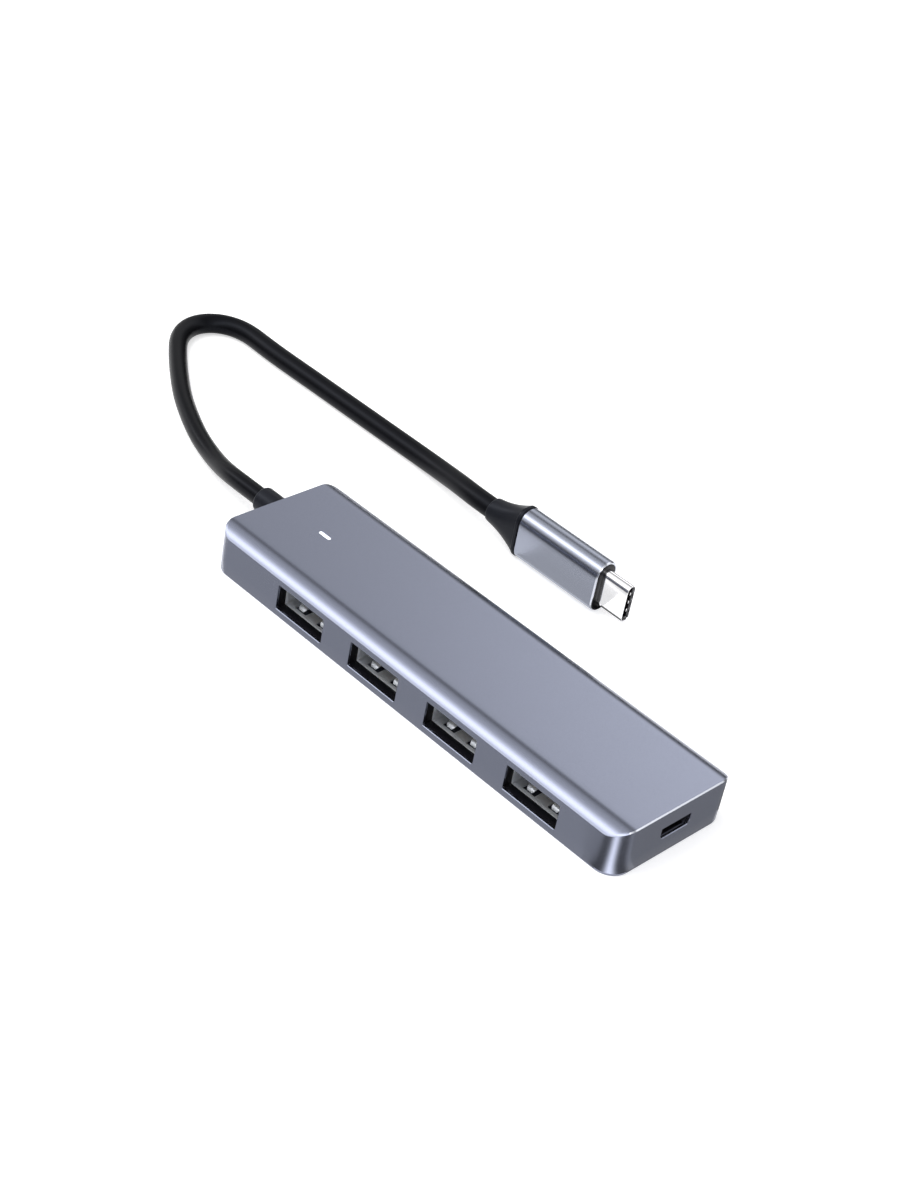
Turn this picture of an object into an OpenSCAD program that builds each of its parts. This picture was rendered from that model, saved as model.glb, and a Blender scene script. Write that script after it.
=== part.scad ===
// Slim bar hub: an aluminium case with four USB-A sockets along one long side,
// a micro-B power inlet at one end and a captive cord to a USB-C plug at the other.
// +X points to the power inlet, -Y to the sockets, +Z up. The origin is the middle
// of the case's footprint, on the surface that the hub rests on.

/* [Case] */
// Length of the case along X
body_l = 105; // [100:1:115]
// Width of the case along Y
body_w = 30; // [30:0.5:34]
// Height at the flat top
body_h = 9.8; // [9.8:0.1:11]
// Height of the upright sides, where the rolled edges end
edge_h = 8.0; // [7.9:0.1:8.4]
// Width of the rolled edge along each long side
roll_w = 4; // [3:0.5:4.5]
// Radius of the four upright corners
corner_r = 4; // [3:0.5:5]
// Thickness of the case walls
wall = 0.6; // [0.5:0.05:0.7]
// Thickness of the bottom cover
cover_t = 1.0; // [0.8:0.1:1.1]
// Width of the bright bevel along the top edge of each end
end_bevel = 0.3; // [0.1:0.1:0.5]

/* [USB-A sockets] */
// Number of sockets
ports = 4; // [1:1:4]
// Distance between neighbouring sockets
port_pitch = 20.1; // [18:0.1:22]
// Place along X of the socket nearest the cord
port_first = -27.7; // [-30:0.1:-26]
// Height of the middle of the sockets
port_z = 4.1; // [4.0:0.05:4.2]
// Width of each cut-out in the case
port_w = 12.7; // [12.6:0.1:13.0]
// Height of each cut-out in the case
port_h = 5.2; // [5.15:0.05:5.4]
// Depth of the black surround behind the front wall
surround_t = 1.8; // [1.5:0.1:2.1]

/* [Status light] */
// Place along X of the light bar
light_x = -38.7; // [-42:0.1:-36]
// Length of the light bar
light_l = 3.0; // [2:0.1:5]
// Width of the light bar
light_w = 0.8; // [0.8:0.1:1.5]

/* [Cord] */
// Place along Y of the cord's exit
exit_y = 2.5; // [0:0.1:3]
// Height of the cord's exit
exit_z = 5.2; // [5.1:0.1:5.4]
// Wider diameter of the cord, which is slightly oval
cord_wide = 4.4; // [4.0:0.1:4.4]
// Narrower diameter of the cord
cord_thin = 3.8; // [3.4:0.1:4.0]
// Length of the boot outside the case
boot_l = 7; // [6:0.5:9]
// Diameter of the boot
boot_d = 5.4; // [5.2:0.1:5.6]

/* [Plug] */
// Length of the plug's metal sleeve
sleeve_l = 21.3; // [18:0.1:24]
// Width of the sleeve, upright as the plug lies on its edge
sleeve_w = 11.2; // [10.8:0.1:12]
// Thickness of the sleeve
sleeve_t = 5.8; // [5.4:0.1:6.4]
// Length of the flared strain relief behind the sleeve
flare_l = 8.5; // [7:0.5:12]

/* [Hidden] */
$fn = 48;
eps = 0.01;

// Case
roll_drop = body_h - edge_h;
roll_r = (roll_w * roll_w + roll_drop * roll_drop) / (2 * roll_drop);
flat_half = body_w / 2 - roll_w;
end_x = body_l / 2;
front_y = -body_w / 2;
rebate = 0.25;
roof_t = 1.0;
post_xs = [-47, -17.6, 2.4, 22.5, 47];
post_y = 11.6;
post_l = 3;
post_w = 0.8;
surround_overlap = 9;
surround_h = 5.9;
ledge_w = 1.5;

// Board
board_t = 1.0;
board_z = 2.85;
board_top = board_z + board_t;
board_l = body_l - 3.6;
board_front = front_y + wall + surround_t + 0.1;
board_back = body_w / 2 - wall - 0.9;
chip_z = board_top;

// USB-A sockets, to the standard's sizes
usb_w = 12.5;
usb_h = 5.12;
usb_sheet = 0.3;
usb_depth = 13;
usb_front = front_y + wall + surround_t;
usb_back = usb_front + usb_depth;
tongue_w = 11.1;
tongue_t = 1.84;
tongue_top_gap = 0.64;
tongue_set_back = 0.6;
block_depth = 4;
tongue_z = port_z + usb_h / 2 - tongue_top_gap - tongue_t;
contact_t = 0.2;
notch_w = usb_w + 2 * usb_sheet + 0.2;
wide_contacts = [-3.5, -1, 1, 3.5];
narrow_contacts = [-4.5, -2.25, 0, 2.25, 4.5];

// Power inlet: a micro-B socket on the board's top face
inlet_z = board_top + 0.05 + 1.225;
inlet_depth = 5.2;
inlet_front = end_x - wall;
inlet_w = 7.5;
inlet_h = 2.45;
inlet_sheet = 0.25;
inlet_block = 1.2;
inlet_inner_w = inlet_w - 2 * inlet_sheet;
inlet_inner_h = inlet_h - 2 * inlet_sheet;

// Cord and plug
plug_y = 40.3;
collar_t = 0.8;
collar_grow = 0.15;
plug_z = sleeve_w / 2 + collar_grow;
flare_x = -32.5;
collar_x = flare_x + flare_l;
sleeve_x = collar_x + collar_t;
nose_x = sleeve_x + sleeve_l;
nose_l = 0.1;
tip_x = nose_x + nose_l;
tip_l = 6.5;
tip_w = 8.25;
tip_t = 2.4;
tip_wall = 0.2;
tip_root = 6;
sleeve_r = 2.8;
sleeve_wall = 0.5;
cord_roll = 45;
cord_sides = 12;
cord_steps = 2;
boot_end = -end_x - boot_l;
cable_bore = 3;
flange_d = 7;
flange_t = 1.6;
flange_x = -end_x + wall + flange_t;
ferrule_l = 2;
cord_route = [
    [boot_end, exit_y, exit_z], [-64, 2.5, 5.2], [-69, 2.9, 4.8], [-74.5, 4.8, 3.2],
    [-80.5, 7, 2.1], [-87, 9, 2.1], [-94, 12.2, 2.1], [-101, 15.8, 2.1],
    [-107.5, 20.1, 2.1], [-113, 24, 2.1], [-117.2, 27.2, 2.1], [-120.8, 30.2, 2.1],
    [-123.4, 34, 2.1], [-124.2, 38, 2.1], [-122.8, 42, 2.1], [-119.4, 44.8, 2.1],
    [-115, 45.8, 2.1], [-110, 45.4, 2.1], [-103, 45.2, 2.1], [-94, 45.3, 2.1],
    [-85, 45.3, 2.1], [-76, 45.3, 2.1], [-67, 45.3, 2.1], [-58, 45.3, 2.1],
    [-50, 43.9, 3.2], [-43, 41.7, 4.9], [-37.5, plug_y, plug_z], [flare_x, plug_y, plug_z]
];

// ---------- shared shapes ----------

// Upright block with round upright corners, its middle at the origin
module rounded_plan(l, w, r) {
    square([l - 2 * r, w], center = true);
    square([l, w - 2 * r], center = true);
    for (sx = [-1, 1], sy = [-1, 1])
        translate([sx * (l / 2 - r), sy * (w / 2 - r)]) circle(r = r);
}

// Bar along +X with round long edges: width along Z, thickness along Y
module bar_x(x, l, w, t, r, y = 0, z = 0) {
    translate([x, y, z]) rotate([90, 0, 90]) linear_extrude(l) rounded_plan(t, w, r);
}

// Cross-section of the case: flat top, rolled long edges, upright sides
module case_section(inset, top_inset) {
    half = body_w / 2 - inset;
    top = body_h - top_inset;
    centre_z = body_h - roll_r;
    difference() {
        translate([-half, -1]) square([2 * half, top + 1]);
        for (side = [0, 1]) mirror([side, 0, 0]) difference() {
            translate([flat_half, centre_z]) square([roll_w + 1, roll_r + 1]);
            translate([flat_half, centre_z]) circle(r = roll_r - top_inset);
        }
    }
}

// Space inside the case's outer surface, moved inwards
module case_block(inset, top_inset) {
    intersection() {
        linear_extrude(body_h + 1)
            rounded_plan(body_l - 2 * inset, body_w - 2 * inset, corner_r - inset);
        rotate([90, 0, 90]) linear_extrude(body_l + 2, center = true)
            case_section(inset, top_inset);
    }
}

// Wedge that bevels the top edge of the +X end
module end_bevel_cut() {
    translate([end_x, 0, body_h]) rotate([90, 0, 0])
        linear_extrude(body_w + 2, center = true)
            polygon([[-end_bevel, eps], [eps, -end_bevel], [1, -end_bevel], [1, 1],
                     [-end_bevel, 1]]);
}

// Outline of the power inlet's cut-out, with sloping lower corners
module inlet_outline(grow) {
    w = 3.8 + grow;
    h = 1.15 + grow;
    polygon([[-w, h], [w, h], [w, -0.2], [w - 0.45, -h], [0.45 - w, -h], [-w, -0.2]]);
}

// Straight round wire between two points
module wire(a, b, d) {
    v = b - a;
    l = norm(v);
    translate(a) rotate([0, acos(v[2] / l), atan2(v[1], v[0])])
        cylinder(h = l, d = d, $fn = 16);
}

function port_x(i) = port_first + (i - 1) * port_pitch;

// ---------- case ----------

module upper_shell() color("slategray") difference() {
    case_block(0, 0);
    translate([0, 0, -eps]) case_block(wall, roof_t);
    translate([0, 0, -1]) linear_extrude(1 + cover_t)
        rounded_plan(body_l - 2 * (wall - rebate), body_w - 2 * (wall - rebate),
                     corner_r - wall + rebate);
    translate([0, 0, -2]) cube([body_l + 2, body_w + 2, 4], center = true);
    for (s = [0, 1]) mirror([s, 0, 0]) end_bevel_cut();
    for (i = [1 : ports]) translate([port_x(i), front_y, port_z])
        cube([port_w, 4 * wall, port_h], center = true);
    translate([end_x - 2, 0, inlet_z]) rotate([90, 0, 90]) linear_extrude(4)
        inlet_outline(0);
    translate([-end_x - 1, exit_y, exit_z]) rotate([0, 90, 0]) cylinder(h = 3, d = boot_d);
    translate([light_x, 0, body_h - 2]) linear_extrude(4)
        rounded_plan(light_l, light_w, light_w / 2 - eps);
}

module bottom_cover() color("dimgray") {
    linear_extrude(cover_t)
        rounded_plan(body_l - 2 * (wall - rebate), body_w - 2 * (wall - rebate),
                     corner_r - wall + rebate);
    for (x = post_xs) translate([x - post_l / 2, post_y, cover_t])
        cube([post_l, post_w, board_z - cover_t]);
}

// Black carrier: a bar with the four socket mouths, and a ledge for the board
module inner_frame() color("black") difference() {
    union() {
        intersection() {
            translate([port_first - surround_overlap, front_y + wall, cover_t])
                cube([(ports - 1) * port_pitch + 2 * surround_overlap, surround_t, surround_h]);
            case_block(wall, roof_t);
        }
        difference() {
            intersection() {
                translate([0, 0, (cover_t + board_z) / 2])
                    cube([body_l, body_w, board_z - cover_t], center = true);
                case_block(wall, roof_t);
            }
            linear_extrude(body_h)
                rounded_plan(body_l - 2 * (wall + ledge_w), body_w - 2 * (wall + ledge_w), 2);
        }
    }
    for (i = [1 : ports]) translate([port_x(i), front_y, port_z])
        cube([port_w, 4 * (wall + surround_t), port_h], center = true);
    translate([-end_x, exit_y, exit_z]) rotate([0, 90, 0])
        cylinder(h = 4, d = flange_d + 0.4);
}

// Clear bar between the lamp and the top, with a flange that sits under the roof
module light_pipe() color("white") {
    set_back = 0.05;
    lamp_h = 0.7;
    flange = 0.8;
    bottom = board_top + lamp_h;
    translate([light_x, 0, bottom]) linear_extrude(body_h - set_back - bottom)
        rounded_plan(light_l, light_w, light_w / 2 - eps);
    translate([light_x, 0, body_h - roof_t - 1.2]) linear_extrude(1.2)
        rounded_plan(light_l + 2 * flange, light_w + 2 * flange, flange);
}

// ---------- board and its parts ----------

module circuit_board() color("darkgreen") difference() {
    translate([0, (board_front + board_back) / 2, board_z]) linear_extrude(board_t)
        rounded_plan(board_l, board_back - board_front, 2);
    for (i = [1 : ports]) translate([port_x(i) - notch_w / 2, board_front - 1, board_z - 1])
        cube([notch_w, usb_back + 0.2 - board_front + 1, 3]);
    translate([-end_x, exit_y - 4, board_z - 1]) cube([6.6, 8, 3]);
}

// Low square chip with a row of feet along two sides
module chip(x, y, l, w, h, feet) {
    translate([x - l / 2, y - w / 2, chip_z + 0.1]) cube([l, w, h]);
    for (k = [0 : feet - 1], s = [-1, 1])
        translate([x - l / 2 + (k + 0.5) * l / feet - 0.12, y + s * (w / 2 + 0.25) - 0.25, chip_z])
            cube([0.24, 0.5, 0.25]);
}

module hub_controller() color([0.1, 0.1, 0.11]) chip(2, 7.2, 7, 7, 0.9, 11);

module power_regulator() color([0.1, 0.1, 0.11]) chip(36, 7, 4, 3.6, 1.1, 4);

module port_switches() color([0.12, 0.12, 0.13])
    for (i = [1 : ports]) chip(port_x(i) + 10, -4, 2.9, 1.6, 1.0, 3);

module crystal() color("silver")
    translate([-7.5, 7, chip_z]) linear_extrude(0.8) rounded_plan(3.2, 2.5, 0.3);

module capacitors() color("tan") {
    for (x = [-12, -9.6, -7.2, 8.4, 10.8, 13.2]) translate([x, 11, chip_z + 0.4])
        cube([1.6, 0.8, 0.8], center = true);
    for (x = [24, 27, 43]) translate([x, 8, chip_z + 0.6]) cube([2, 2.6, 1.2], center = true);
}

module resistors() color([0.2, 0.2, 0.22])
    for (x = [-30, -27.5, -25, -22.5, 16, 18.5]) translate([x, 7, chip_z + 0.2])
        cube([1, 0.5, 0.4], center = true);

module inductor() color("dimgray")
    translate([31, 7, chip_z]) linear_extrude(2) rounded_plan(4, 4, 0.6);

module status_led() color("white")
    translate([light_x, 0, chip_z + 0.35]) cube([1.6, 0.8, 0.7], center = true);

// ---------- USB-A sockets ----------

// Leaf that springs into the socket from a window in its sheet
module leaf() {
    leaf_w = 1.8;
    rotate([90, 0, 90]) linear_extrude(leaf_w, center = true)
        polygon([[7.7, -0.3], [7.7, 0], [2.9, 0.42], [2.2, 0.5], [1.7, 0.35], [1.3, 0],
                 [1.5, -0.05], [1.9, 0.15], [2.3, 0.22], [2.9, 0.12]]);
}

module usb_a_shell(i) color("silver") translate([port_x(i), usb_front, port_z]) {
    outer_w = usb_w + 2 * usb_sheet;
    outer_h = usb_h + 2 * usb_sheet;
    difference() {
        translate([0, usb_depth, 0]) rotate([90, 0, 0]) linear_extrude(usb_depth)
            rounded_plan(outer_w, outer_h, 0.6);
        translate([0, usb_depth + 1, 0]) rotate([90, 0, 0]) linear_extrude(usb_depth + 2)
            rounded_plan(usb_w, usb_h, 0.3);
        for (sx = [-1, 1]) translate([sx * 3, 4.3, 0])
            cube([2.9, 6.8, outer_h + 2], center = true);
    }
    for (sx = [-1, 1]) {
        translate([sx * 3, 0, -usb_h / 2]) leaf();
        translate([sx * 3, 0, usb_h / 2]) mirror([0, 0, 1]) leaf();
        translate([sx * (outer_w / 2 + 0.45), 5, board_top - port_z + 0.15])
            cube([0.9 + eps, 3, 0.3], center = true);
    }
}

module usb_a_insulator(i) color([0.05, 0.05, 0.06]) difference() {
    union() {
        translate([port_x(i), usb_back - block_depth, port_z]) rotate([-90, 0, 0])
            linear_extrude(block_depth) rounded_plan(usb_w, usb_h, 0.3);
        translate([port_x(i) - tongue_w / 2, usb_front + tongue_set_back, tongue_z])
            cube([tongue_w, usb_depth - block_depth, tongue_t]);
    }
    usb_a_contact_strips(i, 0);
}

// Contact strips under the tongue, which run back through the block
module usb_a_contact_strips(i, trim) {
    for (x = wide_contacts)
        translate([port_x(i) + x - 0.5, usb_front + 1.6, tongue_z - contact_t])
            cube([1, usb_depth - trim, contact_t]);
    for (x = narrow_contacts)
        translate([port_x(i) + x - 0.25, usb_front + 6.5, tongue_z - contact_t])
            cube([0.5, usb_depth - 4.9 - trim, contact_t]);
}

module usb_a_contacts(i) color("gold") {
    usb_a_contact_strips(i, 0);
    for (x = concat(wide_contacts, narrow_contacts))
        translate([port_x(i) + x - 0.2, usb_back + 0.3, board_top])
            cube([0.4, 1.3, tongue_z - board_top]);
}

// ---------- power inlet ----------

// Outline of a micro-B socket: wide at the top, lower corners sloping in
module micro_outline(w, h) {
    polygon([[-w / 2, h / 2], [w / 2, h / 2], [w / 2, 0], [w / 2 - 0.7, -h / 2],
             [0.7 - w / 2, -h / 2], [-w / 2, 0]]);
}

module power_socket_shell() color("silver") {
    translate([inlet_front - inlet_depth, 0, inlet_z]) rotate([90, 0, 90]) difference() {
        linear_extrude(inlet_depth) micro_outline(inlet_w, inlet_h);
        translate([0, 0, -1]) linear_extrude(inlet_depth + 2)
            micro_outline(inlet_inner_w, inlet_inner_h);
    }
    for (s = [-1, 1]) translate([inlet_front - 3, s * 4.1, (board_top + inlet_z + 0.8) / 2])
        cube([2, 0.7 + eps, inlet_z + 0.8 - board_top], center = true);
}

module power_socket_insulator() color([0.05, 0.05, 0.06]) {
    translate([inlet_front - inlet_depth, 0, inlet_z]) rotate([90, 0, 90])
        linear_extrude(inlet_block) micro_outline(inlet_inner_w, inlet_inner_h);
    translate([inlet_front - inlet_depth + 1, -1.9, inlet_z + 0.05])
        cube([3.4, 3.8, 0.6]);
}

module power_socket_contacts() color("gold") for (k = [-2 : 2]) {
    translate([inlet_front - inlet_depth + inlet_block, k * 0.65 - 0.2, inlet_z - 0.1])
        cube([3, 0.4, 0.15]);
    translate([inlet_front - inlet_depth - 1, k * 0.65 - 0.2, board_top]) cube([1, 0.4, 0.3]);
}

// ---------- cord ----------

module cable_boot() color([0.06, 0.06, 0.07])
    translate([-end_x, exit_y, exit_z]) rotate([0, 90, 0]) rotate_extrude() {
        inner = cable_bore / 2;
        outer = boot_d / 2;
        round_r = 0.7;
        translate([inner, -boot_l]) square([outer - round_r - inner, boot_l]);
        translate([inner, round_r - boot_l]) square([outer - inner, boot_l + wall - round_r]);
        translate([outer - round_r, round_r - boot_l]) intersection() {
            circle(r = round_r);
            translate([0, -round_r]) square(round_r);
        }
        translate([cable_bore / 2, wall]) square([(flange_d - cable_bore) / 2, flange_t]);
    }

module cable_ferrule() color("silver")
    translate([flange_x, exit_y, exit_z]) rotate([0, 90, 0]) difference() {
        cylinder(h = ferrule_l, d = 5);
        translate([0, 0, -1]) cylinder(h = ferrule_l + 2, d = cable_bore);
    }

// Two flat rows of wires, each wire ending in a post on the board
module cable_wires() color("firebrick") {
    wire_d = 0.6;
    post_l = 0.7;
    for (row = [0, 1], k = [-1.5 : 1.5]) {
        y = exit_y + 0.65 * k;
        z = exit_z - 0.45 + 0.8 * row;
        l = 15.5 + 1.6 * row;
        translate([boot_end, y, z]) rotate([0, 90, 0]) cylinder(h = l, d = wire_d);
        translate([boot_end + l, y - wire_d / 2, board_top])
            cube([post_l, wire_d, z + wire_d / 2 - board_top]);
    }
}

// Smooth curve that the route's points draw towards themselves: a cubic B-spline, whose
// two ends are met by mirroring the second point across the first
function route_point(i) =
    let (last = len(cord_route) - 1)
    i < 0 ? 2 * cord_route[0] - cord_route[1]
    : i > last ? 2 * cord_route[last] - cord_route[last - 1]
    : cord_route[i];
function segment(i, t) =
    let (a = route_point(i - 1), b = route_point(i), c = route_point(i + 1),
         d = route_point(i + 2), s = 1 - t)
    (s * s * s * a + (3 * t * t * t - 6 * t * t + 4) * b
        + (3 * s * s * s - 6 * s * s + 4) * c + t * t * t * d) / 6;
cord_line = concat(
    [for (i = [0 : len(cord_route) - 2], k = [0 : cord_steps - 1]) segment(i, k / cord_steps)],
    [cord_route[len(cord_route) - 1]]);

// Direction of the line at ring i; the two ends leave straight along X
function unit(v) = v / norm(v);
function heading(i) = i == 0 ? [-1, 0, 0] : i == len(cord_line) - 1 ? [1, 0, 0]
    : unit(cord_line[i + 1] - cord_line[i - 1]);

// Point a of oval ring i, its long axis rolled to cord_roll
function ring_point(i, a) =
    let (t = heading(i), s = unit(cross([0, 0, 1], t)), u = cross(t, s),
         p = cos(a) * cord_wide / 2, q = sin(a) * cord_thin / 2)
    cord_line[i] + (p * cos(cord_roll) - q * sin(cord_roll)) * s
        + (p * sin(cord_roll) + q * cos(cord_roll)) * u;

// Closed skin over equal rings of points, which turn anticlockwise seen from ahead
module skin(rings) {
    n = len(rings[0]);
    m = len(rings);
    polyhedron(
        points = [for (r = rings, p = r) p],
        faces = concat(
            [[for (k = [0 : n - 1]) k]],
            [for (j = [0 : m - 2], k = [0 : n - 1])
                [j * n + k, (j + 1) * n + k, (j + 1) * n + (k + 1) % n, j * n + (k + 1) % n]],
            [[for (k = [n - 1 : -1 : 0]) (m - 1) * n + k]]),
        convexity = 6);
}

module cord() color([0.07, 0.07, 0.08])
    skin([for (i = [0 : len(cord_line) - 1])
        [for (k = [0 : cord_sides - 1]) ring_point(i, k * 360 / cord_sides)]]);

// ---------- plug ----------

// Point at angle a of a rounded oblong ring, width along Z and thickness along Y;
// the power blends it from an ellipse (1) to a near rectangle (below 0.5)
function oblong(x, w, t, power, a) =
    [x, plug_y + sign(cos(a)) * pow(abs(cos(a)), power) * t / 2,
     plug_z + sign(sin(a)) * pow(abs(sin(a)), power) * w / 2];

module plug_strain_relief() color([0.06, 0.06, 0.07]) {
    flare_rings = 9;
    start_d = 5.2;
    skin([for (i = [0 : flare_rings - 1])
        let (s = i / (flare_rings - 1), grow = 0.35 * s + 0.65 * s * s)
        [for (a = [0 : 9 : 351])
            oblong(flare_x + s * flare_l, start_d + (sleeve_w - start_d) * grow,
                   start_d + (sleeve_t - start_d) * grow, 1 - 0.35 * grow, a)]]);
    bar_x(collar_x, collar_t, sleeve_w + 2 * collar_grow, sleeve_t + 2 * collar_grow,
          sleeve_r + collar_grow, plug_y, plug_z);
}

module plug_sleeve() color("slategray") difference() {
    bar_x(sleeve_x, sleeve_l, sleeve_w, sleeve_t, sleeve_r, plug_y, plug_z);
    bar_x(sleeve_x - 1, sleeve_l + 2, sleeve_w - 2 * sleeve_wall, sleeve_t - 2 * sleeve_wall,
          sleeve_r - sleeve_wall, plug_y, plug_z);
}

module plug_core() color([0.05, 0.05, 0.06]) difference() {
    bar_x(sleeve_x, sleeve_l + nose_l, sleeve_w - 2 * sleeve_wall,
          sleeve_t - 2 * sleeve_wall, sleeve_r - sleeve_wall, plug_y, plug_z);
    bar_x(tip_x - tip_root, tip_root + 1, tip_w, tip_t, tip_t / 2 - eps, plug_y, plug_z);
    translate([sleeve_x - 1, plug_y - 1.4, plug_z - 4.6])
        cube([tip_x - tip_root - sleeve_x + 1, 2.8, 9.2]);
}

module plug_tip_shell() color("gainsboro") difference() {
    bar_x(tip_x - tip_root, tip_root + tip_l, tip_w, tip_t, tip_t / 2 - eps, plug_y, plug_z);
    bar_x(tip_x - tip_root - 1, tip_root + tip_l + 2, tip_w - 2 * tip_wall,
          tip_t - 2 * tip_wall, tip_t / 2 - tip_wall - eps, plug_y, plug_z);
}

module plug_insulator() color([0.05, 0.05, 0.06]) difference() {
    bar_x(tip_x - tip_root, tip_root + tip_l - 0.4, tip_w - 2 * tip_wall,
          tip_t - 2 * tip_wall, tip_t / 2 - tip_wall - eps, plug_y, plug_z);
    translate([tip_x - 0.5, plug_y - 0.6, plug_z - 3.3]) cube([tip_l + 1, 1.2, 6.6]);
}

module plug_contacts() color("gold")
    for (k = [0 : 11], s = [-1, 1])
        translate([tip_x - 0.4, plug_y + s * 0.52 - 0.08, plug_z + (k - 5.5) * 0.5 - 0.12])
            cube([tip_l - 1.4, 0.16, 0.24]);

module plug_latches() color("silver") for (s = [-1, 1])
    translate([tip_x - 0.3, plug_y - 0.3, plug_z + s * 3.19 - 0.11]) cube([tip_l - 1.8, 0.6, 0.22]);

// Bumps inside the mouth, three along each wide wall
module plug_ground_springs() color("silver") {
    spring = [0.6, 0.24, 0.7];
    spring_pitch = 1.9;
    for (s = [-1, 1], k = [-1 : 1])
        translate([tip_x + tip_l - 0.75, plug_y + s * 0.48, plug_z + k * spring_pitch])
            cube(spring, center = true);
}

module plug_board() color("darkgreen")
    translate([sleeve_x + 5, plug_y - 0.4, plug_z - 4.6])
        cube([tip_x - tip_root - sleeve_x - 5, 0.8, 9.2]);

module plug_wires() color("firebrick") for (k = [-1.5 : 1.5], s = [-1, 1])
    wire([sleeve_x, plug_y + s * 0.8, plug_z + k * 1.2],
         [sleeve_x + 7, plug_y + s * 0.8, plug_z + k * 2], 0.8);

upper_shell();
bottom_cover();
inner_frame();
light_pipe();
circuit_board();
hub_controller();
power_regulator();
port_switches();
crystal();
capacitors();
resistors();
inductor();
status_led();
usb_a_shell(1);  // usb_a_shell_1
usb_a_shell(2);  // usb_a_shell_2
usb_a_shell(3);  // usb_a_shell_3
usb_a_shell(4);  // usb_a_shell_4
usb_a_insulator(1);  // usb_a_insulator_1
usb_a_insulator(2);  // usb_a_insulator_2
usb_a_insulator(3);  // usb_a_insulator_3
usb_a_insulator(4);  // usb_a_insulator_4
usb_a_contacts(1);  // usb_a_contacts_1
usb_a_contacts(2);  // usb_a_contacts_2
usb_a_contacts(3);  // usb_a_contacts_3
usb_a_contacts(4);  // usb_a_contacts_4
power_socket_shell();
power_socket_insulator();
power_socket_contacts();
cable_boot();
cable_ferrule();
cable_wires();
cord();
plug_strain_relief();
plug_sleeve();
plug_core();
plug_tip_shell();
plug_insulator();
plug_contacts();
plug_latches();
plug_ground_springs();
plug_board();
plug_wires();
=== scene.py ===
"""Looks of a slim bar hub: its case, sockets, cord and plug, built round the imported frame."""

from math import cos, pi, radians, sin

import bmesh
import bpy
import numpy as np
from bpy.props import FloatProperty, FloatVectorProperty, IntProperty, PointerProperty
from bpy.types import Operator, Panel, PropertyGroup
from mathutils import Matrix, Vector


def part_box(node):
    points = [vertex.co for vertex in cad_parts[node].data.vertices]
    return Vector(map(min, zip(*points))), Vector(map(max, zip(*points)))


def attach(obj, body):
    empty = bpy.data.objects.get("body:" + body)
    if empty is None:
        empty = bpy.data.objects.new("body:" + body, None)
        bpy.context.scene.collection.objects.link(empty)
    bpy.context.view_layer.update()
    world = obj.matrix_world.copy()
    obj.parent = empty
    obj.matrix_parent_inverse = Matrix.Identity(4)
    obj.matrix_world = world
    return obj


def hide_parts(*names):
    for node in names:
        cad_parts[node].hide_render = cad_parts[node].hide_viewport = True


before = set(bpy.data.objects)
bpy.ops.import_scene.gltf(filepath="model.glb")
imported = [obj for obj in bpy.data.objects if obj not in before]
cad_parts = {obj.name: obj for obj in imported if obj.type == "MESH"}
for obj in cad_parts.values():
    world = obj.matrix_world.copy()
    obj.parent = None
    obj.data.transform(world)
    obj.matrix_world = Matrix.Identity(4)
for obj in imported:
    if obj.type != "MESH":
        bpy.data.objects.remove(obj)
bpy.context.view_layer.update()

bl_info = {
    "name": "Bar hub builder",
    "version": (1, 0, 0),
    "blender": (4, 5, 0),
    "location": "3D View > Sidebar > Hub",
    "description": "Builds a bar hub with four sockets, a captive cord and its plug",
    "category": "Add Mesh",
}

MM = 0.001
BODY = "root"
PORTS = (1, 2, 3, 4)
SHARP_ANGLE = radians(32)
FOLD_ANGLE = 1.6 * SHARP_ANGLE
TOUCHING = 2e-6


# ---------- the frame, in millimetres ----------

def box_mm(node):
    """The lowest and highest corners of a CAD node, in millimetres."""
    low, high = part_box(node)
    return np.array(low) / MM, np.array(high) / MM


def middle_mm(node):
    """The middle of a CAD node's box, in millimetres."""
    low, high = box_mm(node)
    return (low + high) / 2


CASE_LOW, CASE_HIGH = box_mm("upper_shell")
BOOT_LOW, BOOT_HIGH = box_mm("cable_boot")
SLEEVE_LOW, SLEEVE_HIGH = box_mm("plug_sleeve")
RELIEF_LOW = box_mm("plug_strain_relief")[0]
TIP_LOW, TIP_HIGH = box_mm("plug_tip_shell")
SOCKET_LOW, SOCKET_HIGH = box_mm("usb_a_shell_1")
SOCKET_Z = middle_mm("usb_a_shell_1")[2]
BOOT_RADIUS = 2.7


# ---------- settings ----------

def length(name, description, default):
    """A length property, whose default is given in millimetres."""
    return FloatProperty(name=name, description=description, default=default * MM,
                         min=0, subtype="DISTANCE", unit="LENGTH", precision=5)


def color(name, description, default):
    """A colour property."""
    return FloatVectorProperty(name=name, description=description, default=default,
                               size=3, min=0, max=1, subtype="COLOR")


def angle(name, description, default):
    """An angle property, whose default is given in degrees."""
    return FloatProperty(name=name, description=description, default=radians(default),
                         subtype="ANGLE", unit="ROTATION")


class HubStageSettings(PropertyGroup):
    """Camera, floor and light."""
    azimuth: angle("Azimuth", "Turn of the view about the vertical", 39.585)
    elevation: angle("Elevation", "Height of the view above the floor", 34.975)
    roll: angle("Roll", "Tilt of the camera about its own axis", 11.357)
    distance: length("Distance", "From the camera to the point it looks at", 420.73)
    target: FloatVectorProperty(name="Target", description="Point that the camera looks at",
                                default=(-0.01982, 0.01723, 0.0), size=3,
                                subtype="TRANSLATION", unit="LENGTH")
    lens: FloatProperty(name="Lens", description="Focal length for a 36 mm wide sensor",
                        default=87.77, min=1)
    floor_color: color("Floor", "Colour of the floor", (0.82, 0.82, 0.83))


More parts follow.
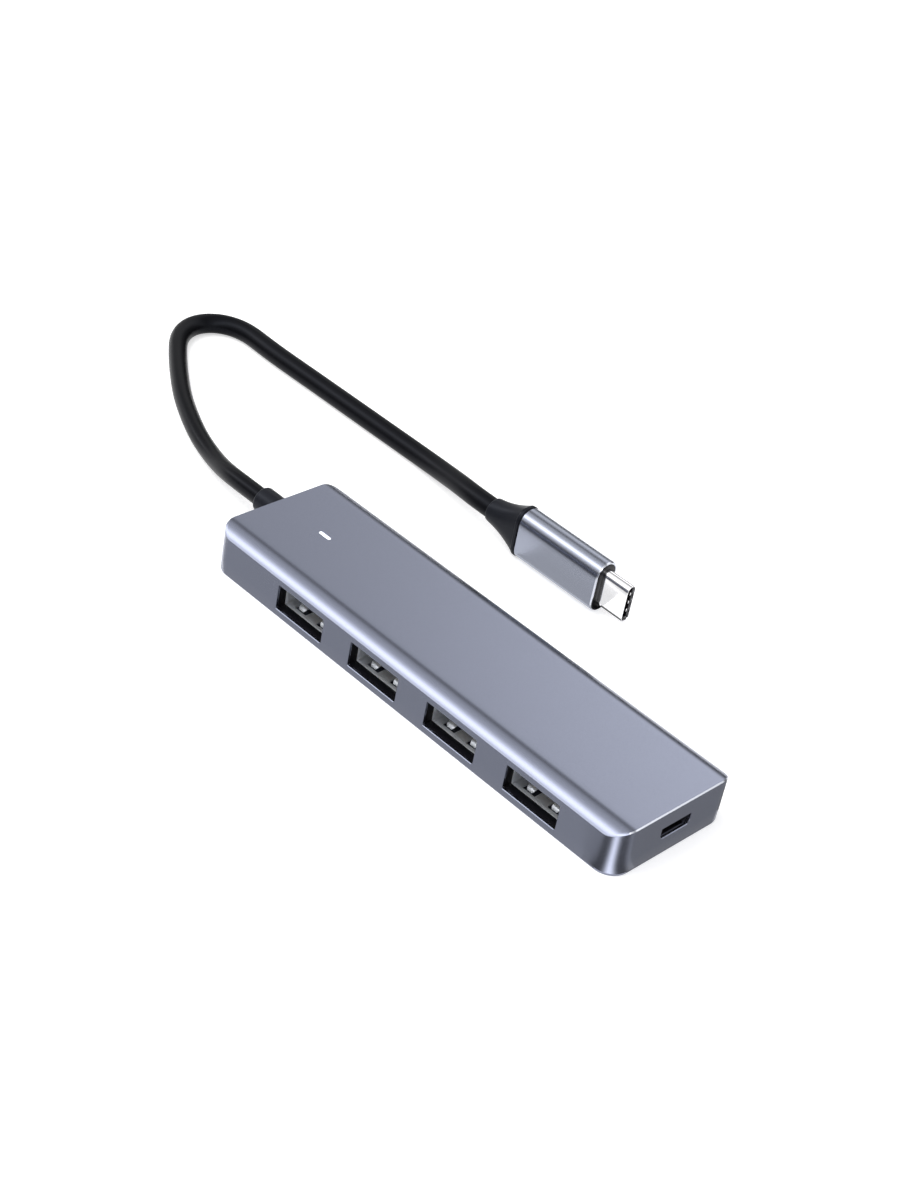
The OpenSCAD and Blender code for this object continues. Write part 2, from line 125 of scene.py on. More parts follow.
class HubCaseSettings(PropertyGroup):
    """The metal case."""
    corner: length("Corner radius", "Radius of the upright corners", 4)
    edge_height: length("Edge height", "Height of the upright sides", 8)
    roll_width: length("Roll width", "Width of the rolled long edges", 4)
    wall: length("Wall", "Thickness of the sides", 0.6)
    roof: length("Roof", "Thickness of the top", 1.0)
    end_bevel: length("End bevel", "Width of the bright bevel at the ends", 0.22)
    metal: color("Metal", "Anodised finish", (0.235, 0.252, 0.322))
    cut_metal: color("Cut metal", "Bright-cut bevels", (0.55, 0.57, 0.63))


class HubSocketSettings(PropertyGroup):
    """The USB-A sockets and the power inlet."""
    cut_width: length("Cut-out width", "Width of each cut-out in the case", 12.7)
    cut_height: length("Cut-out height", "Height of each cut-out in the case", 5.2)
    inlet_width: length("Inlet width", "Width of the power inlet's cut-out", 7.6)
    inlet_height: length("Inlet height", "Height of the power inlet's cut-out", 2.3)
    inlet_slope: length("Inlet slope", "Width of the inlet's sloping lower corners", 0.45)
    sheet: length("Sheet", "Thickness of the sockets' sheet metal", 0.3)
    steel: color("Steel", "Nickel-plated sheet", (0.76, 0.79, 0.84))
    plastic: color("Plastic", "Black moulded plastic", (0.004, 0.004, 0.006))
    # Painted shade: the power inlet's steel gets a nearly black colour that stands in for the
    # shade deep in its recess. The real shell is bright plated steel.
    inlet_shade_steel: color("Inlet steel in shade", "Power inlet's steel, painted dark as shade in its recess",
                        (0.05, 0.05, 0.06))
    gold: color("Gold", "Plated contacts", (0.9, 0.66, 0.28))


class HubLightSettings(PropertyGroup):
    """The status light."""
    glow: color("Glow", "Colour of the lit bar", (0.92, 0.96, 1.0))
    strength: FloatProperty(name="Strength", description="Brightness of the lit bar",
                            default=1.2, min=0)
    bar_length: length("Bar length", "Length of the light bar", 3.0)
    bar_width: length("Bar width", "Width of the light bar", 0.8)


class HubCordSettings(PropertyGroup):
    """The cord and its boot."""
    wide: length("Wider diameter", "Long axis of the oval jacket", 4.4)
    thin: length("Thinner diameter", "Short axis of the oval jacket", 3.8)
    lean: angle("Lean", "Turn of the oval about the cord's own line", 45)
    sides: IntProperty(name="Sides", description="Points round the jacket", default=28, min=8)
    jacket: color("Jacket", "Soft black jacket", (0.003, 0.003, 0.004))
    relief: color("Relief", "Moulded boot and strain relief", (0.012, 0.013, 0.017))


class HubPlugSettings(PropertyGroup):
    """The plug on the cord's end."""
    corner: length("Sleeve corner", "Radius of the sleeve's long edges", 2.8)
    rim: length("Rim", "Width of the sleeve's bright rim", 0.22)
    # Partly painted light: the sleeve is anodised like the case, but its colour is lighter than
    # the case's metal to paint in the brighter light on its face.
    sleeve: color("Sleeve", "Anodised sleeve", (0.30, 0.32, 0.385))
    chrome: color("Chrome", "Bright shell of the tip", (0.86, 0.86, 0.88))


# ---------- meshes ----------

def quads(rows, columns, closed):
    """Corner numbers of the quads of a grid. A closed grid's rows are loops. A quad turns from
    its row's direction to the next row, so loops that turn anticlockwise seen from ahead, and
    follow each other forwards, give faces that point outwards."""
    i, j = np.meshgrid(np.arange(rows - 1), np.arange(columns - (not closed)), indexing="ij")
    k = (j + 1) % columns
    corners = (i * columns + j, i * columns + k, (i + 1) * columns + k, (i + 1) * columns + j)
    return np.stack(corners, -1).reshape(-1, 4)


def grid_sheet(points, closed=False, slot=0, flip=False):
    """One sheet of a piece: points is (rows, columns, 3) in millimetres, and slot is a
    material's number, or one number for each quad."""
    points = np.asarray(points, float)
    faces = quads(points.shape[0], points.shape[1], closed)
    if flip:
        faces = faces[:, ::-1]
    slots = np.broadcast_to(np.asarray(slot), (len(faces),)).astype(np.int32)
    return points.reshape(-1, 3), faces, slots


def cap_sheet(ring, slot=0, flip=False):
    """A flat end: the ring and smaller copies of it, shrunk to its middle, as a grid."""
    middle = ring.mean(axis=0)
    shares = np.array([1, 0.85, 0.5, 0])[:, None, None]
    return grid_sheet(middle + (ring - middle) * shares, True, slot, flip)


def smooth_by_angle(mesh):
    """Smooth faces, with hard edges where they meet at more than the sharp angle."""
    mesh.shade_smooth()
    mesh.set_sharp_from_angle(angle=SHARP_ANGLE)


def new_piece(name, sheets, materials):
    """An object made of several sheets, whose touching points are merged. It rides on the
    hub's body."""
    starts = np.cumsum([0] + [len(points) for points, _, _ in sheets[:-1]])
    points = np.concatenate([points for points, _, _ in sheets]) * MM
    faces = np.concatenate([faces + start for (_, faces, _), start in zip(sheets, starts)])
    slots = np.concatenate([slots for _, _, slots in sheets])
    mesh = bpy.data.meshes.new(name)
    mesh.from_pydata(points.tolist(), [], faces.tolist())
    mesh.polygons.foreach_set("material_index", slots)
    for material in materials:
        mesh.materials.append(material)
    work = bmesh.new()
    work.from_mesh(mesh)
    bmesh.ops.remove_doubles(work, verts=work.verts, dist=TOUCHING)
    bmesh.ops.dissolve_degenerate(work, edges=work.edges, dist=TOUCHING)
    work.to_mesh(mesh)
    work.free()
    smooth_by_angle(mesh)
    piece = bpy.data.objects.new(name, mesh)
    bpy.context.scene.collection.objects.link(piece)
    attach(piece, BODY)
    return piece


def apply_modifiers(piece):
    """The piece's mesh with its modifiers in it, and none left on it."""
    depsgraph = bpy.context.evaluated_depsgraph_get()
    finished = bpy.data.meshes.new_from_object(piece.evaluated_get(depsgraph))
    piece.modifiers.clear()
    piece.data = finished
    smooth_by_angle(finished)


def cut_out(piece, cutter):
    """The piece without the space that the cutter fills. The cut takes the cutter's material."""
    cut = piece.modifiers.new("cut", "BOOLEAN")
    cut.operation = "DIFFERENCE"
    cut.solver = "EXACT"
    cut.object = cutter
    cut.material_mode = "TRANSFER"
    apply_modifiers(piece)
    bpy.data.objects.remove(cutter)


def softened(node, name, width, material, segments=2):
    """A copy of a CAD node with its triangles merged into flat faces and its hard edges
    rounded by width, in millimetres. It replaces the node, and takes a slot's finish."""
    piece = bpy.data.objects.new(name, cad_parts[node].data.copy())
    bpy.context.scene.collection.objects.link(piece)
    mesh = piece.data
    mesh.materials.clear()
    mesh.materials.append(material)
    mesh.polygons.foreach_set("material_index", np.zeros(len(mesh.polygons), np.int32))
    if "custom_normal" in mesh.attributes:
        mesh.attributes.remove(mesh.attributes["custom_normal"])
    work = bmesh.new()
    work.from_mesh(mesh)
    bmesh.ops.remove_doubles(work, verts=work.verts, dist=TOUCHING)
    bmesh.ops.dissolve_limit(work, angle_limit=radians(1), verts=work.verts, edges=work.edges)
    work.to_mesh(mesh)
    work.free()
    bevel = piece.modifiers.new("round", "BEVEL")
    bevel.width = width * MM
    bevel.segments = segments
    bevel.limit_method = "ANGLE"
    bevel.angle_limit = SHARP_ANGLE
    apply_modifiers(piece)
    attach(piece, BODY)
    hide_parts(node)


def oblong(width, height, radius, arc=8, side=6):
    """Points of a rounded oblong, anticlockwise: each corner is a quarter circle, and each
    side between two corners is straight. It gives (count, 2)."""
    turn = np.linspace(0, pi / 2, arc + 1)
    parts = []
    corners = ((1, 1), (-1, 1), (-1, -1), (1, -1))
    for number, (sx, sy) in enumerate(corners):
        a = turn + number * pi / 2
        centre = (sx * (width / 2 - radius), sy * (height / 2 - radius))
        parts.append(np.stack([centre[0] + radius * np.cos(a),
                               centre[1] + radius * np.sin(a)], -1))
    whole = []
    for number, part in enumerate(parts):
        following = parts[(number + 1) % 4][0]
        t = np.linspace(0, 1, side + 1)[1:-1, None]
        whole.extend([part, part[-1] + (following - part[-1]) * t])
    return np.concatenate(whole)


def along_x(rings, places):
    """Loops of (y, z) points set at places along X, as a grid of rows."""
    rings = np.asarray(rings, float)
    x = np.broadcast_to(np.asarray(places, float)[:, None, None], rings.shape[:2] + (1,))
    return np.concatenate([x, rings], -1)


def along_y(rings, places):
    """Loops of (x, z) points, anticlockwise seen from -Y, set at places that go towards -Y."""
    rings = np.asarray(rings, float)
    y = np.broadcast_to(np.asarray(places, float)[:, None, None], rings.shape[:2] + (1,))
    return np.concatenate([rings[..., :1], y, rings[..., 1:]], -1)


def along_z(rings, places):
    """Loops of (x, y) points, anticlockwise seen from above, set at heights that go up."""
    rings = np.asarray(rings, float)
    z = np.broadcast_to(np.asarray(places, float)[:, None, None], rings.shape[:2] + (1,))
    return np.concatenate([rings, z], -1)


def closed_loft(rows, slot=0):
    """The sheets of a solid through the rows' loops, with flat ends."""
    return [grid_sheet(rows, True, slot), cap_sheet(rows[0], slot, True),
            cap_sheet(rows[-1], slot)]


# ---------- materials ----------

def shader_material(name, base, metallic, roughness, **sockets):
    """A new material with one Principled shader, and that shader. The sockets are set by
    their names, with _ for a space."""
    material = bpy.data.materials.new(name)
    material.use_nodes = True
    shader = material.node_tree.nodes["Principled BSDF"]
    shader.inputs["Base Color"].default_value = (*base, 1)
    shader.inputs["Metallic"].default_value = metallic
    shader.inputs["Roughness"].default_value = roughness
    for socket, value in sockets.items():
        shader.inputs[socket.replace("_", " ")].default_value = value
    return material, shader


def noise(material, size, detail=3.0, stretch=(1, 1, 1)):
    """A noise over the piece in three dimensions, whose spots are size millimetres across.
    A stretch above 1 makes them that many times longer along its axis."""
    nodes, links = material.node_tree.nodes, material.node_tree.links
    place = nodes.new("ShaderNodeTexCoord")
    mapping = nodes.new("ShaderNodeMapping")
    mapping.inputs["Scale"].default_value = [1 / s for s in stretch]
    texture = nodes.new("ShaderNodeTexNoise")
    texture.inputs["Scale"].default_value = 1 / (size * MM)
    texture.inputs["Detail"].default_value = detail
    links.new(place.outputs["Object"], mapping.inputs["Vector"])
    links.new(mapping.outputs["Vector"], texture.inputs["Vector"])
    return texture.outputs["Fac"]


def spread(material, factor, low, high, start=0.3, end=0.7):
    """A value that goes from low to high as the factor goes from start to end."""
    node = material.node_tree.nodes.new("ShaderNodeMapRange")
    node.inputs["From Min"].default_value = start
    node.inputs["From Max"].default_value = end
    node.inputs["To Min"].default_value = low
    node.inputs["To Max"].default_value = high
    material.node_tree.links.new(factor, node.inputs["Value"])
    return node.outputs["Result"]


def blend_colors(material, factor, first, second):
    """A colour that goes from the first to the second as the factor goes from 0 to 1."""
    node = material.node_tree.nodes.new("ShaderNodeMix")
    node.data_type = "RGBA"
    node.inputs["A"].default_value = (*first, 1)
    node.inputs["B"].default_value = (*second, 1)
    material.node_tree.links.new(factor, node.inputs["Factor"])
    return node.outputs["Result"]


def bump(material, shader, factor, depth):
    """Relief on the shader: the factor's full range is depth millimetres high."""
    node = material.node_tree.nodes.new("ShaderNodeBump")
    node.inputs["Strength"].default_value = 1
    node.inputs["Distance"].default_value = depth * MM
    links = material.node_tree.links
    links.new(factor, node.inputs["Height"])
    links.new(node.outputs["Normal"], shader.inputs["Normal"])


def shaded(base, share):
    """The colour made lighter by a share of itself, or darker if the share is negative."""
    return [min(1, c * (1 + share)) for c in base]


def grained(name, base, metallic, roughness, size, relief, tone=0.06, rough_spread=0.05,
            stretch=(1, 1, 1), **sockets):
    """A material with a fine grain: spots of the given size vary its colour by the tone, its
    roughness by rough_spread and its height by relief, and broader clouds vary them slowly."""
    material, shader = shader_material(name, base, metallic, roughness, **sockets)
    links = material.node_tree.links
    fine = noise(material, size, 2, stretch)
    clouds = noise(material, size * 60, 3, stretch)
    tinted = blend_colors(material, spread(material, fine, 0, 1), shaded(base, -tone),
                          shaded(base, tone))
    links.new(tinted, shader.inputs["Base Color"])
    links.new(spread(material, clouds, roughness - rough_spread, roughness + rough_spread,
                     0.1, 0.9), shader.inputs["Roughness"])
    bump(material, shader, fine, relief)
    return material


def blasted_metal(name, base, roughness):
    """Aluminium blasted with fine beads and anodised: a soft metal with a fine even grain."""
    return grained(name, base, 1, roughness, 0.12, 0.0015, tone=0.05, rough_spread=0.006)


def cut_metal(name, base):
    """Aluminium cut bright by a turning tool: smooth, with faint marks."""
    return grained(name, base, 1, 0.24, 0.05, 0.0008, tone=0.03, rough_spread=0.04)


def plated_steel(name, base, roughness, stretch=(1, 1, 6), metallic=1):
    """Rolled and plated sheet: faint streaks along the rolling direction. A satin plating
    is less metallic, and scatters some of its light."""
    return grained(name, base, metallic, roughness, 0.08, 0.001, tone=0.05,
                   rough_spread=0.05, stretch=stretch)


def moulded_plastic(name, base, roughness=0.42):
    """Black moulded plastic with a fine spark-eroded texture."""
    return grained(name, base, 0, roughness, 0.15, 0.004, tone=0.25, rough_spread=0.06,
                   Specular_IOR_Level=0.18)


def soft_jacket(name, base):
    """A cord's soft jacket: satin, with a fine matt bloom and slow changes of sheen."""
    return grained(name, base, 0, 0.33, 0.1, 0.002, tone=0.3, rough_spread=0.04,
                   Specular_IOR_Level=0.1, Specular_Tint=(0.78, 0.84, 1, 1))


def solder_mask(name):
    """A circuit board: green lacquer over copper tracks that run along and across."""
    material, shader = shader_material(name, (0.01, 0.12, 0.05), 0, 0.3)
    nodes, links = material.node_tree.nodes, material.node_tree.links
    place = nodes.new("ShaderNodeTexCoord")
    bricks = nodes.new("ShaderNodeTexBrick")
    bricks.inputs["Scale"].default_value = 1 / (6 * MM)
    bricks.inputs["Mortar Size"].default_value = 0.03
    links.new(place.outputs["Object"], bricks.inputs["Vector"])
    tracks = blend_colors(material, bricks.outputs["Fac"], (0.01, 0.11, 0.045),
                          (0.03, 0.24, 0.09))
    links.new(tracks, shader.inputs["Base Color"])
    bump(material, shader, bricks.outputs["Fac"], 0.03)
    return material


def lit_diffuser(name, glow, strength):
    """A diffuser that glows evenly, with a faint cloudiness."""
    material, shader = shader_material(name, glow, 0, 0.3, Emission_Strength=strength)
    links = material.node_tree.links
    clouds = spread(material, noise(material, 0.8, 2), 0, 1)
    links.new(blend_colors(material, clouds, shaded(glow, -0.06), glow),
              shader.inputs["Emission Color"])
    return material


def dress(names, material):
    """Gives CAD nodes that stay as they are their material."""
    for name in names:
        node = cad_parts[name]
        node.data.materials.clear()
        node.data.materials.append(material)


# ---------- case ----------

CUT_REACH = 1
CUT_DEPTH = 1.2
CUT_BEVEL = 0.12
ROOF_CUT_DEPTH = 1.6
SLOT_BEVEL = 0.04
SOCKET_CORNER = 0.35


def case_grid(settings, inset_end, inset_side, drop):
    """The top of the case as a grid with rows along Y and columns along X: its edge is the
    plan's outline moved inwards, and it is lowered by drop. The height is flat in the middle
    and follows a circle beyond it, and a row at angle a of the corner's quarter circle ends
    where that circle does: y = flat + r sin a, x = straight + r cos a."""
    corner = settings.corner / MM
    half_l = (CASE_HIGH[0] - CASE_LOW[0]) / 2
    half_w = (CASE_HIGH[1] - CASE_LOW[1]) / 2
    flat = half_w - corner
    quarter = np.linspace(0, pi / 2, 19)
    inset = inset_side + (inset_end - inset_side) * np.cos(quarter) ** 2
    rolled = flat + (corner - inset) * np.sin(quarter)
    reach = half_l - corner + (corner - inset) * np.cos(quarter)
    middle = np.linspace(-flat, flat, 23)[1:-1]
    y = np.concatenate([-rolled[::-1], middle, rolled])
    x_end = np.concatenate([reach[::-1], np.full(len(middle), half_l - inset_end), reach])
    share = np.sin(np.linspace(-pi / 2, pi / 2, 141))
    share = 0.3 * share + 0.7 * np.linspace(-1, 1, 141)
    x = x_end[:, None] * share[None, :]
    z = np.broadcast_to(case_height(settings, y, drop)[:, None], x.shape)
    return np.stack([x, np.broadcast_to(y[:, None], x.shape), z], -1)


def case_height(settings, y, drop):
    """Height of the case's top at y: flat, then down a circle whose top touches the flat."""
    top = CASE_HIGH[2]
    roll = settings.roll_width / MM
    fall = top - settings.edge_height / MM
    radius = (roll ** 2 + fall ** 2) / (2 * fall)
    flat = (CASE_HIGH[1] - CASE_LOW[1]) / 2 - roll
    beyond = np.maximum(np.abs(y) - flat, 0)
    return top - radius + np.sqrt((radius - drop) ** 2 - beyond ** 2)


def edge_loop(grid):
    """The grid's outermost points, anticlockwise seen from above."""
    return np.concatenate([grid[0, :-1], grid[:-1, -1], grid[-1, :0:-1], grid[:0:-1, 0]])


def case_sheets(settings):
    """The case's skin: the outer top, the inner top, and between their edges one band of
    loops that goes down inside, out under the rim and up outside to the bevel."""
    bevel, soft = settings.end_bevel / MM, 0.12
    wall, roof = settings.wall / MM, settings.roof / MM
    rebate, rebate_top = wall - 0.25, 1.0
    side_heights = (3.0, 5.0)
    outer = case_grid(settings, bevel, soft, 0)
    inner = case_grid(settings, wall, wall, roof)

    def loop(inset, height=None):
        """The outline moved inwards, at one height or, with none, at the top's height."""
        points = edge_loop(case_grid(settings, inset, inset, 0))
        if height is not None:
            points[:, 2] = height
        return points

    outline = loop(0)
    outer_loop = edge_loop(outer)
    across = np.linalg.norm((outline - outer_loop)[:, :2], axis=1)
    outline[:, 2] = outer_loop[:, 2] - across
    rows = [edge_loop(inner), loop(wall, rebate_top), loop(rebate, rebate_top),
            loop(rebate, 0), loop(0.2, 0), loop(0.06, 0.06), loop(0, 0.2)]
    rows += [loop(0, height) for height in side_heights]
    rows += [outline, outer_loop]
    band = np.stack(rows)
    slots = np.zeros((len(rows) - 1, band.shape[1]), int)
    slots[-1] = across > 0.2
    return [grid_sheet(outer), grid_sheet(inner, flip=True),
            grid_sheet(band, True, slots.ravel())]


def flared_cut(loop_at, face, behind, flare, outward, along):
    """The sheets of a block that cuts a wall from behind its face to in front of it. It is
    straight up to flare short of the face, and widens at 45 degrees from there, which leaves
    a small bevel. loop_at(grow) gives a loop, along sets loops at places, and outward is 1
    or -1, the way that the face looks."""
    loops = [loop_at(grow) for grow in (0, 0, flare, flare + CUT_REACH)]
    places = face + outward * np.array((-behind, -flare, 0, CUT_REACH))
    return closed_loft(along(loops, places))


def socket_cutters(settings, metal):
    """Blocks that cut the sockets' openings through the front wall."""
    width, height = settings.cut_width / MM, settings.cut_height / MM
    sheets = []
    for port in PORTS:
        x = middle_mm(f"usb_a_insulator_{port}")[0]

        def loop_at(grow):
            return oblong(width + 2 * grow, height + 2 * grow, SOCKET_CORNER + grow, 6,
                          3) + (x, SOCKET_Z)

        sheets += flared_cut(loop_at, CASE_LOW[1], CUT_DEPTH, CUT_BEVEL, -1, along_y)
    return new_piece("socket_cutters", sheets, [metal])


def inlet_loop(width, height, slope, radius=0.12):
    """The power inlet's outline of (y, z) points, anticlockwise seen from +X: wide at the
    top, its lower corners sloping in, and every corner eased by a small arc."""
    corners = np.array([(width / 2, -slope * 0.5), (width / 2, height / 2),
                        (-width / 2, height / 2), (-width / 2, -slope * 0.5),
                        (-width / 2 + slope, -height / 2), (width / 2 - slope, -height / 2)])
    before = corners - np.roll(corners, 1, axis=0)
    after = np.roll(corners, -1, axis=0) - corners
    before /= np.linalg.norm(before, axis=1, keepdims=True)
    after /= np.linalg.norm(after, axis=1, keepdims=True)
    t = np.linspace(0, 1, 5)[None, :, None]
    start = (corners - before * radius)[:, None]
    end = (corners + after * radius)[:, None]
    eased = (1 - t) ** 2 * start + 2 * t * (1 - t) * corners[:, None] + t ** 2 * end
    return eased.reshape(-1, 2)


def end_cutters(metal, inlet, bar):
    """Blocks that cut the power inlet, the cord's hole and the slot of the light bar. The
    inlet's and the bar's settings are given."""
    inlet_w, inlet_h = inlet.inlet_width / MM, inlet.inlet_height / MM
    slope = inlet.inlet_slope / MM
    inlet_yz = middle_mm("power_socket_shell")[1:]

    def inlet_at(grow):
        return inlet_loop(inlet_w + 2 * grow, inlet_h + 2 * grow, slope + grow) + inlet_yz

    sheets = flared_cut(inlet_at, CASE_HIGH[0], CUT_DEPTH, CUT_BEVEL, 1, along_x)

    turn = np.linspace(0, 2 * pi, 64, endpoint=False)
    circle = (np.stack([np.cos(turn), np.sin(turn)], -1) * BOOT_RADIUS
              + middle_mm("cable_boot")[1:])
    sheets += closed_loft(along_x([circle, circle],
                                  (CASE_LOW[0] - CUT_REACH, CASE_LOW[0] + CUT_DEPTH)))

    bar_l, bar_w = bar.bar_length / MM, bar.bar_width / MM
    bar_xy = middle_mm("light_pipe")[:2]

    def slot_at(grow):
        return oblong(bar_l + 2 * grow, bar_w + 2 * grow, 0.49 * bar_w + grow, 8,
                      4) + bar_xy

    sheets += flared_cut(slot_at, CASE_HIGH[2], ROOF_CUT_DEPTH, SLOT_BEVEL, 1, along_z)
    return new_piece("end_cutters", sheets, [metal])


class HUB_OT_build_case(Operator):
    """Build the metal case with its cut-outs, and give the bottom cover its finish"""
    bl_idname = "hub.build_case"
    bl_label = "Case"

    def execute(self, context):
        settings = context.scene.hub_case
        metal = blasted_metal("case_metal", settings.metal, 0.27)
        bright = cut_metal("bright_bevel", settings.cut_metal)
        case = new_piece("case", case_sheets(settings), [metal, bright])
        cut_out(case, socket_cutters(context.scene.hub_socket, metal))
        cut_out(case, end_cutters(metal, context.scene.hub_socket, context.scene.hub_light))
        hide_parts("upper_shell")
        dress(["bottom_cover"], blasted_metal("cover_metal", shaded(settings.metal, -0.1),
                                              0.42))
        return {"FINISHED"}


# ---------- curves ----------

def spline(points, steps):
    """A cubic B-spline: each segment blends four neighbouring points with the weights
    (1-t)^3, 3t^3-6t^2+4, 3(1-t)^3-6(1-t)^2+4 and t^3, over 6. The ends are met by mirroring
    the second point across the first."""
    points = np.asarray(points, float)
    ends = (2 * points[0] - points[1], 2 * points[-1] - points[-2])
    p = np.concatenate([[ends[0]], points, [ends[1]]])
    t = np.arange(steps) / steps
    s = 1 - t
    weights = np.stack([s ** 3, 3 * t ** 3 - 6 * t ** 2 + 4,
                        3 * s ** 3 - 6 * s ** 2 + 4, t ** 3]) / 6
    groups = np.stack([p[:-3], p[1:-2], p[2:-1], p[3:]])
    line = np.einsum("ws,wnd->nsd", weights, groups).reshape(-1, points.shape[1])
    return np.concatenate([line, points[-1:]])


# ---------- sockets ----------

SOCKET_INNER = np.array((12.5, 5.12))
WINDOW_X = 3.0
WINDOW_HALF = 1.45
WINDOW_DEPTHS = (0.9, 7.7)
LEAF_HALF = 0.9
LEAF_PROFILE = ((8.0, -0.05), (6.4, 0.06), (4.8, 0.24), (3.6, 0.40), (2.9, 0.54),
                (2.3, 0.60), (1.8, 0.48), (1.5, 0.18), (1.35, -0.12))


def socket_tube(x, z):
    """The inside of one socket: a tube along Y with two windows in its floor and two in its
    roof. It is a grid of an oblong loop by depth, without the windows' quads."""
    w, h = SOCKET_INNER / 2
    turn = np.linspace(0, pi / 2, 6)
    arc = (np.stack([np.cos(turn), np.sin(turn)], -1) - 1) * SOCKET_CORNER + (w, h)
    stops = (WINDOW_X + WINDOW_HALF, WINDOW_X - WINDOW_HALF, 0, WINDOW_HALF - WINDOW_X,
             -WINDOW_X - WINDOW_HALF)
    top = np.stack([stops, np.full(len(stops), h)], -1)
    upper = np.concatenate([[(w, 0)], arc, top, (arc * (-1, 1))[::-1], [(-w, 0)]])
    loop = np.concatenate([upper, (upper * (1, -1))[-2:0:-1]])
    start, end = WINDOW_DEPTHS
    depths = np.array((SOCKET_HIGH[1] - SOCKET_LOW[1], 10, end, 5.5, 3, start, 0))
    points, faces, slots = grid_sheet(
        along_y([loop + (x, z)] * len(depths), SOCKET_LOW[1] + depths), True)
    centres = points[faces].mean(axis=1) - (x, SOCKET_LOW[1], z)
    in_window = ((np.abs(np.abs(centres[:, 0]) - WINDOW_X) < WINDOW_HALF)
                 & (np.abs(centres[:, 2]) > h - 0.01)
                 & (centres[:, 1] > start) & (centres[:, 1] < end))
    return points, faces[~in_window], slots[~in_window]


def socket_leaf(x, z, side):
    """One spring leaf: a strip whose profile is a spline in depth and height, and whose
    width narrows to a round tip. side is -1 on the floor and 1 on the roof."""
    line = spline(LEAF_PROFILE, 4)
    toward_tip = np.linspace(0, 1, len(line))
    half = LEAF_HALF * np.sqrt(np.clip(1 - (np.maximum(toward_tip - 0.75, 0) / 0.3) ** 2,
                                       0.05, 1))
    across = np.linspace(-1, 1, 7)
    crown = 0.05 * (1 - across ** 2)
    xs = x + half[:, None] * across[None, :]
    ys = np.broadcast_to((SOCKET_LOW[1] + line[:, 0])[:, None], xs.shape)
    rise = line[:, 1:] + crown[None, :]
    zs = z + side * (SOCKET_INNER[1] / 2 - rise)
    return grid_sheet(np.stack([xs, ys, zs], -1), flip=side < 0)


class HUB_OT_build_sockets(Operator):
    """Build the sheet metal of the USB-A sockets, and finish their tongues and contacts"""
    bl_idname = "hub.build_sockets"
    bl_label = "USB-A sockets"

    def execute(self, context):
        settings = context.scene.hub_socket
        steel = plated_steel("socket_steel", settings.steel, 0.36, (1, 8, 1), 0.55)
        plastic = moulded_plastic("socket_plastic", settings.plastic)
        gold = plated_steel("contact_gold", settings.gold, 0.22)
        for port in PORTS:
            x = middle_mm(f"usb_a_insulator_{port}")[0]
            sheets = [socket_tube(x, SOCKET_Z)]
            sheets += [socket_leaf(x + sx * WINDOW_X, SOCKET_Z, side)
                       for sx in (-1, 1) for side in (-1, 1)]
            shell = new_piece(f"socket_shell_{port}", sheets, [steel])
            thickness = shell.modifiers.new("sheet", "SOLIDIFY")
            thickness.thickness = settings.sheet
            thickness.offset = 1
            edges = shell.modifiers.new("edges", "BEVEL")
            edges.width = 0.05 * MM
            edges.segments = 2
            edges.angle_limit = FOLD_ANGLE
            apply_modifiers(shell)
            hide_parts(f"usb_a_shell_{port}")
            softened(f"usb_a_insulator_{port}", f"tongue_{port}", 0.12, plastic)
        dress([f"usb_a_contacts_{port}" for port in PORTS], gold)
        softened("inner_frame", "carrier", 0.08, plastic)
        return {"FINISHED"}


class HUB_OT_build_power_inlet(Operator):
    """Finish the power inlet's shell, tongue and contacts"""
    bl_idname = "hub.build_power_inlet"
    bl_label = "Power inlet"

    def execute(self, context):
        settings = context.scene.hub_socket
        # Painted shade: the inlet's shell takes the nearly black steel colour that stands in for
        # the shade in its recess.
        steel = plated_steel("inlet_steel", settings.inlet_shade_steel, 0.3, (8, 1, 1))
        plastic = moulded_plastic("inlet_plastic", settings.plastic)
        softened("power_socket_shell", "inlet_shell", 0.06, steel)
        softened("power_socket_insulator", "inlet_tongue", 0.06, plastic)
        dress(["power_socket_contacts"], plated_steel("inlet_gold", settings.gold, 0.22))
        return {"FINISHED"}


# ---------- status light ----------

class HUB_OT_build_light(Operator):
    """Give the light bar and its lamp their glow"""
    bl_idname = "hub.build_light"
    bl_label = "Status light"

    def execute(self, context):
        settings = context.scene.hub_light
        glow = lit_diffuser("lit_diffuser", settings.glow, settings.strength)
        softened("light_pipe", "light_bar", 0.08, glow)
        dress(["status_led"], glow)
        return {"FINISHED"}


# ---------- cord ----------

CORD_ROUTE = (
    (-59.5, 2.5, 5.2), (-64, 2.5, 5.2), (-69, 2.9, 4.8), (-74.5, 4.8, 3.2),
    (-80.5, 7, 2.1), (-87, 9, 2.1), (-94, 12.2, 2.1), (-101, 15.8, 2.1),
    (-107.5, 20.1, 2.1), (-113, 24, 2.1), (-117.2, 27.2, 2.1), (-120.8, 30.2, 2.1),
    (-123.4, 34, 2.1), (-124.2, 38, 2.1), (-122.8, 42, 2.1), (-119.4, 44.8, 2.1),
    (-115, 45.8, 2.1), (-110, 45.4, 2.1), (-103, 45.2, 2.1), (-94, 45.3, 2.1),
    (-85, 45.3, 2.1), (-76, 45.3, 2.1), (-67, 45.3, 2.1), (-58, 45.3, 2.1),
    (-50, 43.9, 3.2), (-43, 41.7, 4.9), (-37.5, 40.3, 5.75), (-32.5, 40.3, 5.75),
)


def cord_frames(line):
    """For each point of a line, its heading, the level direction across it, and the
    direction square to both. The two ends leave straight along X."""
    heading = np.gradient(line, axis=0)
    heading[0], heading[-1] = (-1, 0, 0), (1, 0, 0)
    heading /= np.linalg.norm(heading, axis=1, keepdims=True)
    level = np.cross((0, 0, 1), heading)
    level /= np.linalg.norm(level, axis=1, keepdims=True)
    return heading, level, np.cross(heading, level)


